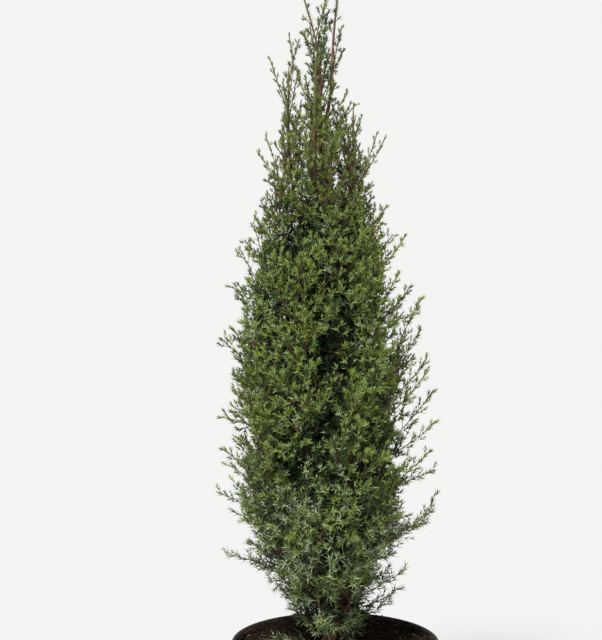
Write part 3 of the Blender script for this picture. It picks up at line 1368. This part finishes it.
def add_wood(name, groups):
    """The thin wood of several groups of plumes as one piece."""
    numbers = [i for group in groups for i in group_nodes(group)[0]]
    parts = [
        tubes(of_plumes(strands, numbers), rings, sides)
        for strands, (_, rings, sides) in zip((stems, twigs, shoots), WOODS.values())
    ]
    slots = [np.full(len(f), slot) for slot, (_, faces) in enumerate(parts) for f in faces]
    finishes = [plain_finish(wood, colour, WOOD_ROUGHNESS) for wood, (colour, _, _) in WOODS.items()]
    piece = new_piece(name, *merged(parts), finishes, np.concatenate(slots))
    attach(piece, "root")
    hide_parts(*(plumes[i].name for i in numbers))


add_wood("twigs_low", ("skirt", "lower_back", "lower_front"))
add_wood("twigs_high", ("middle_back", "middle_front", "upper", "spire"))

# %% [markdown]
# ## Bark of trunk and boughs
#
# Juniper bark is thin and red-brown, and it splits into long soft fibres that peel. The limb's
# surface is a tube whose radius has low ridges that run along it and wander, and the finer fibres
# are a bump in the material. The pattern has to follow a bent limb, so each vertex carries its
# place on the limb as an attribute: twice round the limb, and once along it.

# %% A finer path along a limb
BARK_STEP, FEWEST_BARK_RINGS = 0.0030, 8


def smooth_path(points, radii, step):
    """A finer path through the points of a limb: each coordinate and the radius is a smooth curve
    over the run along the limb."""
    run = run_along(points)
    at = np.linspace(0, run[-1], max(FEWEST_BARK_RINGS, int(run[-1] / step)))
    fine = np.stack([smooth(np.stack([run, points[:, k]], axis=1), at) for k in range(3)], axis=1)
    return fine, smooth(np.stack([run, radii], axis=1), at), at


# %% Relief of the bark
# Ridges that sway: height, number round the limb, sway, and the sway's rate and phase.
RIDGES = ((1.0, 5, 1.6, 1.0, 0), (0.7, 8, 2.0, 0.63, 2))
# Swellings that twist round the limb: height, number round it, and rate along it.
SWELL_HEIGHT, SWELL_COUNT, SWELL_RATE = 0.5, 2, 3
WANDER_RATE = 45


def bark_relief(run, turns, phase):
    """Height of the bark at a run along the limb and a turn round it: for each set of ridges a
    sine of the turn whose phase sways along the limb, plus the swellings."""
    wander = run * WANDER_RATE + phase
    ridges = sum(
        height * np.sin(count * turns + sway * np.sin(rate * wander + start))
        for height, count, sway, rate, start in RIDGES
    )
    return ridges + SWELL_HEIGHT * np.sin(SWELL_RATE * wander + SWELL_COUNT * turns)


# %% Bark surface
TRUNK_SIDES, BOUGH_SIDES = 28, 14
RIDGE_SHARE, RIDGE_START = 0.055, 0.006
# A tiny push, so that a limb that rises straight up has a direction square to it too.
NUDGE = np.array([0, 1e-6, 0])


def bark_tube(points, radii, sides, phase):
    """Places, faces and grain of one limb. A vertex is the path's point plus the spoke times the
    radius times 1 plus the relief's share, which starts at nothing at the cut foot. Grain is the
    cosine and sine of the turn times the radius, and the run along the limb."""
    path, radius, run = smooth_path(points, radii, BARK_STEP)
    ahead = unit(np.gradient(path, axis=0))
    reference = unit(np.cross(UPRIGHT, path[-1] - path[0]) + NUDGE)
    across = unit(np.cross(ahead, reference))
    turns = np.arange(sides) * 2 * math.pi / sides
    relief = bark_relief(run[:, None], turns, phase)
    reach = radius[:, None] * (1 + RIDGE_SHARE * relief * np.clip(run[:, None] / RIDGE_START, 0, 1))
    rings = path[:, None] + reach[..., None] * spokes(across, np.cross(ahead, across), sides)
    places, faces = closed_tube(rings, path[[0, -1]])
    grain = np.stack([
        np.cos(turns) * radius[:, None], np.sin(turns) * radius[:, None],
        run[:, None] + 0 * turns + phase,
    ], axis=-1).reshape(-1, 3)
    ends = np.array([[0, 0, run[0] + phase], [0, 0, run[-1] + phase]])
    return places, faces, np.concatenate([grain, ends])


print("sides of the trunk:", TRUNK_SIDES, "and of a bough:", BOUGH_SIDES)

# %% [markdown]
# A pattern in a finish starts from noise, a smooth random value at each place. Stretched noise
# draws fibres and strips. A ramp turns its value into a colour, and a bump turns it into relief.

# %% Noise and relief
Noise = namedtuple("Noise", "stretch scale detail")
EVEN = (1.0, 1.0, 1.0)


def noise(tree, vector, kind):
    """Noise over a vector whose axes are scaled first, so that it can draw long streaks."""
    mapping = add_node(tree, "ShaderNodeMapping", sockets={"Scale": kind.stretch})
    tree.links.new(vector, mapping.inputs["Vector"])
    made = add_node(tree, "ShaderNodeTexNoise", sockets={"Scale": kind.scale, "Detail": kind.detail})
    tree.links.new(mapping.outputs["Vector"], made.inputs["Vector"])
    return made.outputs["Fac"]


def combined(tree, operation, one, other):
    """The sum or the product of two factors."""
    node = add_node(tree, "ShaderNodeMath", operation=operation)
    tree.links.new(one, node.inputs[0])
    tree.links.new(other, node.inputs[1])
    return node.outputs["Value"]


def colour_and_relief(finish, factor, stops, height, relief):
    """Gives a finish a ramp of colours over a factor, and a bump of a height in metres."""
    tree = finish.node_tree
    shader = tree.nodes["Principled BSDF"]
    tree.links.new(colour_ramp(tree, factor, stops), shader.inputs["Base Color"])
    bump = add_node(tree, "ShaderNodeBump", sockets=relief)
    tree.links.new(height, bump.inputs["Height"])
    tree.links.new(bump.outputs["Normal"], shader.inputs["Normal"])


# %% [markdown]
# The finish mixes four browns along stretched noise: from dark splits over a red ground to grey
# weathered strips. The bump comes from the same stretched noise, so that colour and relief agree.

# %% The bark's finish
BARK_BROWN, BARK_ROUGHNESS, BARK_SPECULAR = (0.16, 0.075, 0.035), 0.85, 0.25
BARK_BROWNS = (
    (0.34, (0.030, 0.015, 0.009)),
    (0.45, (0.125, 0.058, 0.031)),
    (0.54, (0.225, 0.115, 0.066)),
    (0.66, (0.350, 0.215, 0.130)),
)
FIBRES, STRIPS = Noise((1.0, 1.0, 0.10), 900.0, 4.0), Noise((1.0, 1.0, 0.16), 260.0, 2.0)
BARK_RELIEF = {"Strength": 0.9, "Distance": 0.0012}


def bark_finish():
    """Red-brown fibrous bark over the limb's own grain, by the mean of fibres and strips."""
    made = plain_finish("juniper_bark", BARK_BROWN, BARK_ROUGHNESS, Specular_IOR_Level=BARK_SPECULAR)
    tree = made.node_tree
    grain = add_node(tree, "ShaderNodeAttribute", attribute_name="grain").outputs["Vector"]
    both = combined(tree, "ADD", noise(tree, grain, FIBRES), noise(tree, grain, STRIPS))
    half = add_node(tree, "ShaderNodeMath", operation="MULTIPLY", sockets={1: 0.5})
    tree.links.new(both, half.inputs[0])
    colour_and_relief(made, half.outputs["Value"], BARK_BROWNS, half.outputs["Value"], BARK_RELIEF)
    return made


# %% The bark of all limbs
LIMB_PHASE = 1.7


def add_bark():
    """One piece for the trunk, the second leader and all boughs."""
    limb_tubes = [
        bark_tube(points, radii, TRUNK_SIDES if name == "trunk" else BOUGH_SIDES, LIMB_PHASE * i)
        for i, (name, points, radii) in enumerate(limbs)
    ]
    places, faces = merged([(places, faces) for places, faces, _ in limb_tubes])
    grain = np.concatenate([grain for _, _, grain in limb_tubes])
    piece = new_piece("bark_of_limbs", places, faces, [bark_finish()], smooth=True)
    attribute = piece.data.attributes.new("grain", "FLOAT_VECTOR", "POINT")
    attribute.data.foreach_set("vector", grain.astype(np.float32).ravel())
    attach(piece, "root")
    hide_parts(*(name for name, _, _ in limbs))


add_bark()

# %% [markdown]
# ## The pot
#
# A nursery container is blow-moulded or injection-moulded plastic: a tapering wall, a stepped
# collar that stiffens the rim, a rolled lip, a rounded foot and drain holes. It is a profile turned
# round the axis, with true arcs at the lip and the foot, and drills cut the holes.

# %% Sizes of the pot
POT_BASE_RADIUS = 0.098
POT_WALL, POT_FLOOR = 0.0020, 0.0030
POT_COLLAR_HEIGHT, POT_COLLAR_STEP = 0.022, 0.0030
POT_LIP_RADIUS, POT_FOOT_ROUND = 0.0022, 0.003
COLLAR_BEVEL = (0.0005, 0.0006)
COLLAR_FOOT = POT_HEIGHT - POT_COLLAR_HEIGHT
COLLAR_OUTSIDE = POT_RIM_RADIUS - POT_LIP_RADIUS
COLLAR_INSIDE = COLLAR_OUTSIDE - POT_WALL
WALL_INSIDE = COLLAR_INSIDE - POT_COLLAR_STEP
print("the collar is", POT_COLLAR_HEIGHT, "high, and its inner radius is", round(COLLAR_INSIDE, 4))

# %% The pot's profile
POT_SIDES, LIP_STEPS, FOOT_STEPS, WALL_STEPS = 144, 19, 8, 24


def arc(centre, radius, from_degrees, to_degrees, count):
    """Points (radius, height) of an arc, from one angle to another: the centre plus the radius
    times the angle's cosine and sine."""
    angle = np.radians(np.linspace(from_degrees, to_degrees, count))
    return np.stack([centre[0] + radius * np.cos(angle), centre[1] + radius * np.sin(angle)], axis=1)


def pot_profile():
    """The pot's section from the middle of its floor, up inside, over the lip and down outside."""
    lip = arc((COLLAR_OUTSIDE, POT_HEIGHT - POT_LIP_RADIUS), POT_LIP_RADIUS, 180, -90, LIP_STEPS)
    foot = arc((POT_BASE_RADIUS - POT_FOOT_ROUND, POT_FOOT_ROUND), POT_FOOT_ROUND, 0, -90, FOOT_STEPS)
    low = np.array([POT_BASE_RADIUS, POT_FOOT_ROUND])
    high = np.array([WALL_INSIDE + POT_WALL, COLLAR_FOOT - POT_COLLAR_STEP / 2])
    wall = high + (low - high) * np.linspace(0, 1, WALL_STEPS)[1:-1, None]
    inside = [
        [0.0, POT_FLOOR], [POT_BASE_RADIUS - POT_WALL, POT_FLOOR], [WALL_INSIDE, COLLAR_FOOT],
        [COLLAR_INSIDE, COLLAR_FOOT + POT_COLLAR_STEP],
    ]
    under_collar = [
        [COLLAR_OUTSIDE, COLLAR_FOOT + COLLAR_BEVEL[1]], [COLLAR_OUTSIDE - COLLAR_BEVEL[0], COLLAR_FOOT],
    ]
    return np.concatenate([inside, lip, under_collar, [high], wall, foot, [[0.0, 0.0]]])


def turned_surface(profile, sides):
    """Places and faces of a profile turned round Z, closed by a fan at each end on the axis. A
    vertex is (radius cos(turn), radius sin(turn), height)."""
    turns = np.arange(sides) * 2 * math.pi / sides
    radius, height = profile[1:-1].T[..., None]
    rings = np.stack([radius * np.cos(turns), radius * np.sin(turns), height + 0 * turns], axis=-1)
    poles = np.array([[0, 0, profile[0, 1]], [0, 0, profile[-1, 1]]])
    return closed_tube(rings, poles, inside_out=True)


# %% [markdown]
# Black horticultural plastic is a dull near-black with a faint grain, rubbed paler in scuffs, and
# it has soil dust on the collar and near the foot. Colour and roughness follow two noises. The
# inside, which the wet soil has stained, has browner and stronger stops.

# %% Pot finish
SHELL_BLACKS = (
    (0.15, (0.0060, 0.0058, 0.0055)),
    (0.30, (0.0095, 0.0090, 0.0085)),
    (0.42, (0.0190, 0.0165, 0.0140)),
    (0.56, (0.0450, 0.0370, 0.0290)),
)
STAINED_BLACKS = (
    (0.12, (0.0045, 0.0042, 0.0040)),
    (0.22, (0.0120, 0.0092, 0.0074)),
    (0.29, (0.0280, 0.0185, 0.0130)),
    (0.40, (0.0650, 0.0400, 0.0270)),
)
POT_ROUGHNESS, POT_SPECULAR = 0.42, 0.5
DUST, SCUFFS = Noise((1.0, 1.0, 0.55), 26.0, 8.0), Noise((1.0, 1.0, 6.0), 60.0, 5.0)
MOULD_GRAIN = Noise(EVEN, 900.0, 2.0)
SHELL_RELIEF = {"Strength": 0.25, "Distance": 0.0004}
STAINED_RELIEF = {"Strength": 0.25, "Distance": 0.0016}
DUSTY_ROUGHNESS = {"From Min": 0.3, "From Max": 0.7, "To Min": 0.34, "To Max": 0.62}


def pot_finish(name, blacks, relief):
    """Near-black moulded plastic with dust and scuffs: the product of their noises picks the
    colour, and dust makes it rougher."""
    made = plain_finish(name, blacks[1][1], POT_ROUGHNESS, Specular_IOR_Level=POT_SPECULAR)
    tree = made.node_tree
    place = add_node(tree, "ShaderNodeTexCoord").outputs["Object"]
    dust = noise(tree, place, DUST)
    both = combined(tree, "MULTIPLY", dust, noise(tree, place, SCUFFS))
    colour_and_relief(made, both, blacks, noise(tree, place, MOULD_GRAIN), relief)
    rough = add_node(tree, "ShaderNodeMapRange", sockets=DUSTY_ROUGHNESS)
    tree.links.new(dust, rough.inputs["Value"])
    tree.links.new(rough.outputs["Result"], tree.nodes["Principled BSDF"].inputs["Roughness"])
    return made


# %% The pot and its drain holes
INNER_PROFILE_STEPS = 4
DRAIN_HOLES, DRAIN_RADIUS, DRAIN_CIRCLE = 6, 0.007, 0.072
# A drill's section, in hole radii and floor thicknesses: from one over the floor to one under it.
DRILL_SECTION, DRILL_SIDES = np.array([[0, 2], [1, 2], [1, -1], [0, -1]]), 32


def add_pot():
    """The pot, with its drain holes cut by drills that are removed again."""
    places, faces = turned_surface(pot_profile(), POT_SIDES)
    finishes = [
        pot_finish("pot_plastic", SHELL_BLACKS, SHELL_RELIEF),
        pot_finish("pot_stained", STAINED_BLACKS, STAINED_RELIEF),
    ]
    slots = np.zeros(sum(len(f) for f in faces), int)
    slots[:INNER_PROFILE_STEPS * POT_SIDES] = 1
    pot = new_piece("pot_shell", places, faces, finishes, slots, smooth=True)
    drill_places, drill_faces = turned_surface(DRILL_SECTION * [DRAIN_RADIUS, POT_FLOOR], DRILL_SIDES)
    drills = []
    for i in range(DRAIN_HOLES):
        centre = bearing_way(360.0 * (i + 0.5) / DRAIN_HOLES) * DRAIN_CIRCLE
        drills.append(new_piece(f"drill_{i}", drill_places + centre, drill_faces, []))
        cut = pot.modifiers.new("Drain hole", "BOOLEAN")
        cut.operation = "DIFFERENCE"
        cut.object = drills[-1]
    graph = bpy.context.evaluated_depsgraph_get()
    pot.data = bpy.data.meshes.new_from_object(pot.evaluated_get(graph))
    pot.modifiers.clear()
    for drill in drills:
        bpy.data.objects.remove(drill)
    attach(pot, "root")
    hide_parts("pot")


add_pot()

# %% [markdown]
# ## Potting soil
#
# The soil is a dark mix of fine crumbs with bark chips on top. Its surface is a polar grid that is
# level round the trunk and rises a little to the pot's wall, with relief from many crossing waves
# of random direction. On it lie loose crumbs, chips of bark, short fibres and a few pale specks,
# each a solid of a few faces.

# %% Height of the soil
SOIL_TOP_HEIGHT, SOIL_WALL_HEIGHT, SOIL_BANK, BANK_TURN = 0.2035, 0.2060, 0.0022, 1
SOIL_CROWN_RADIUS = 0.030
SOIL_WAVES, SOIL_WAVE_LENGTHS, SOIL_WAVE_FALL = 40, (0.004, 0.05), 0.45
SOIL_RELIEF, WAVES_PER_HEIGHT = 0.0011, 4


def soil_wave_set():
    """Random waves: direction and frequency, phase and size. Shorter waves are lower: the size is
    the length over the longest, to a power under 1."""
    rng = np.random.default_rng(SOIL_SEED)
    length = np.geomspace(*SOIL_WAVE_LENGTHS, SOIL_WAVES)
    turn = rng.uniform(0, 2 * math.pi, SOIL_WAVES)
    ahead = np.stack([np.cos(turn), np.sin(turn)]) * 2 * math.pi / length
    return ahead, rng.uniform(0, 2 * math.pi, SOIL_WAVES), (length / length.max()) ** SOIL_WAVE_FALL


SOIL_FREQUENCY, SOIL_PHASE, SOIL_SIZE = soil_wave_set()


def soil_height(x, y):
    """Height of the soil: level round the trunk, passing evenly to a low bank against the pot's
    wall that is higher on two sides, plus the waves' sines, evened by their number."""
    fall = np.clip((np.hypot(x, y) - SOIL_CROWN_RADIUS) / (COLLAR_INSIDE - SOIL_CROWN_RADIUS), 0, 1)
    wall = SOIL_WALL_HEIGHT + SOIL_BANK * np.sin(2 * np.arctan2(y, x) - BANK_TURN)
    height = SOIL_TOP_HEIGHT + (wall - SOIL_TOP_HEIGHT) * fall
    waves = np.sin(np.stack([x, y], axis=-1) @ SOIL_FREQUENCY + SOIL_PHASE) * SOIL_SIZE
    return height + SOIL_RELIEF * waves.sum(axis=-1) / math.sqrt(SOIL_WAVES / WAVES_PER_HEIGHT)


print("height of the soil in the middle:", round(float(soil_height(0.0, 0.0)), 4))

# %% Soil finish
SOIL_BROWN, SOIL_ROUGHNESS, SOIL_SPECULAR = (0.035, 0.022, 0.014), 0.95, 0.08
SOIL_BROWNS = (
    (0.34, (0.0045, 0.0032, 0.0020)),
    (0.50, (0.0120, 0.0077, 0.0046)),
    (0.62, (0.0300, 0.0178, 0.0100)),
    (0.74, (0.0680, 0.0370, 0.0200)),
)
SOIL_GRAINS = Noise(EVEN, 320.0, 6.0)
GRAIN_RELIEF = {"Strength": 1.0, "Distance": 0.003}


def soil_finish():
    """Near-black moist soil with brown fibres: one noise for colour and relief."""
    made = plain_finish("potting_soil", SOIL_BROWN, SOIL_ROUGHNESS, Specular_IOR_Level=SOIL_SPECULAR)
    place = add_node(made.node_tree, "ShaderNodeTexCoord").outputs["Object"]
    grains = noise(made.node_tree, place, SOIL_GRAINS)
    colour_and_relief(made, grains, SOIL_BROWNS, grains, GRAIN_RELIEF)
    return made


# %% Soil surface
SOIL_SIDES, SOIL_RINGS = 180, 64
SOIL_CLEARANCE = 2 * GAP


def add_soil():
    """The soil's relief on top, and plain sides and a base inside the pot."""
    edge = COLLAR_INSIDE - SOIL_CLEARANCE
    top = np.stack([np.linspace(0, edge, SOIL_RINGS), np.full(SOIL_RINGS, SOIL_CROWN_HEIGHT)], axis=1)
    lower = np.array([
        [edge, COLLAR_FOOT + POT_COLLAR_STEP], [edge - POT_COLLAR_STEP, COLLAR_FOOT],
        [POT_BASE_RADIUS - POT_WALL - SOIL_CLEARANCE, POT_FLOOR + GAP], [0.0, POT_FLOOR + GAP],
    ])
    places, faces = turned_surface(np.concatenate([top, lower]), SOIL_SIDES)
    surface = places[:, 2] == SOIL_CROWN_HEIGHT
    places[surface, 2] = soil_height(places[surface, 0], places[surface, 1])
    soil = new_piece("soil_surface", places, faces, [soil_finish()], smooth=True)
    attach(soil, "root")
    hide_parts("soil")


add_soil()

# %% Kinds of litter
# Each kind's number, range of lengths, range of widths as shares of the length, and colour.
Loose = namedtuple("Loose", "count lengths widths colour")
LITTER = {
    "crumb": Loose(1900, (0.0010, 0.0026), (0.7, 1.0), (0.0130, 0.0086, 0.0050)),
    "dark_chip": Loose(420, (0.0025, 0.0065), (0.25, 0.5), (0.0250, 0.0146, 0.0084)),
    "red_chip": Loose(480, (0.0020, 0.0062), (0.2, 0.45), (0.0720, 0.0350, 0.0175)),
    "tan_fibre": Loose(240, (0.0030, 0.0090), (0.10, 0.2), (0.1500, 0.1050, 0.0680)),
    "pale_speck": Loose(140, (0.0010, 0.0024), (0.6, 1.0), (0.5000, 0.4300, 0.3600)),
}
print(sum(loose.count for loose in LITTER.values()), "loose bits of", len(LITTER), "kinds")

# %% Boxes laid on the soil
ON_WALL = ("crumb", "dark_chip", "red_chip")
WALL_SHARE, WALL_CLIMB, WALL_STAND, CLIMB_POWER = 0.36, 0.0075, 0.0010, 1.5
WALL_MARGIN, MIDDLE_LEFT_BARE = 0.002, 0.012
LITTER_SINK = 0.25
TRUNK_KEEP_OUT = 0.013
THICKEST, THICK_SHARES, CORNER_SHARES, TILT_SPREAD = 0.4, (0.5, 1.0), (0.62, 1.0), 0.22
UNIT_BOX = np.array([(x, y, z) for z in (-1, 1) for y in (-1, 1) for x in (-1, 1)], float)


def loose_boxes(rng, kind, loose):
    """The corners of one kind's boxes, laid flat on the soil at random, and some that stick to the
    pot's wall with their length along it. The radius goes with the root of a draw, which is even
    over the area. Length, width and height are each drawn from the kind's range, and corner c of
    box b is its place plus the corner, tilted and then turned."""
    radius = (COLLAR_INSIDE - WALL_MARGIN) * np.sqrt(rng.uniform(MIDDLE_LEFT_BARE, 1, loose.count))
    on_wall = rng.uniform(0, 1, loose.count) < WALL_SHARE * (kind in ON_WALL)
    radius[on_wall] = COLLAR_INSIDE - WALL_STAND
    turn = rng.uniform(0, 2 * math.pi, loose.count)
    x, y = radius * np.cos(turn), radius * np.sin(turn)
    clear = np.hypot(x - trunk_centre(FOOT_HEIGHT)[0], y) > TRUNK_KEEP_OUT
    x, y, turn, on_wall, count = x[clear], y[clear], turn[clear], on_wall[clear], int(clear.sum())
    length = rng.uniform(*loose.lengths, count)
    width = length * rng.uniform(*loose.widths, count)
    thick = np.minimum(width, length * THICKEST) * rng.uniform(*THICK_SHARES, count)
    size = np.stack([length, width, thick], axis=1) / 2
    corners = UNIT_BOX * size[:, None] * rng.uniform(*CORNER_SHARES, (count, len(UNIT_BOX), 3))
    tilt, yaw = rng.normal(0, TILT_SPREAD, count), rng.uniform(0, 2 * math.pi, count)
    yaw[on_wall] = turn[on_wall] + math.pi / 2
    across, height = turned(corners[..., 0], corners[..., 2], tilt[:, None])
    boxes = np.stack([*turned(across, corners[..., 1], yaw[:, None]), height], axis=-1)
    rest = soil_height(x, y) + thick / 2 * (1 - LITTER_SINK)
    rest[on_wall] += rng.uniform(0, 1, int(on_wall.sum())) ** CLIMB_POWER * WALL_CLIMB
    return boxes + np.stack([x, y, rest], axis=1)[:, None]


# %% Loose crumbs and chips
LITTER_ROUGHNESS, LITTER_SPECULAR = 0.9, 0.1
BOX_FACES = np.array([(0, 2, 3, 1), (4, 5, 7, 6), (0, 1, 5, 4), (2, 6, 7, 3), (0, 4, 6, 2), (1, 3, 7, 5)])


def add_litter():
    """All kinds of loose boxes as one piece."""
    rng = np.random.default_rng(LITTER_SEED)
    kinds = [loose_boxes(rng, kind, loose) for kind, loose in LITTER.items()]
    slots = np.repeat(np.arange(len(kinds)), [len(boxes) * len(BOX_FACES) for boxes in kinds])
    places = np.concatenate(kinds)
    faces = (len(UNIT_BOX) * np.arange(len(places)))[:, None, None] + BOX_FACES
    finishes = [
        plain_finish(f"litter_{kind}", loose.colour, LITTER_ROUGHNESS, Specular_IOR_Level=LITTER_SPECULAR)
        for kind, loose in LITTER.items()
    ]
    name = "soil_crumbs_and_chips"
    litter = new_piece(name, places.reshape(-1, 3), [faces.reshape(-1, 4)], finishes, slots)
    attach(litter, "root")


add_litter()
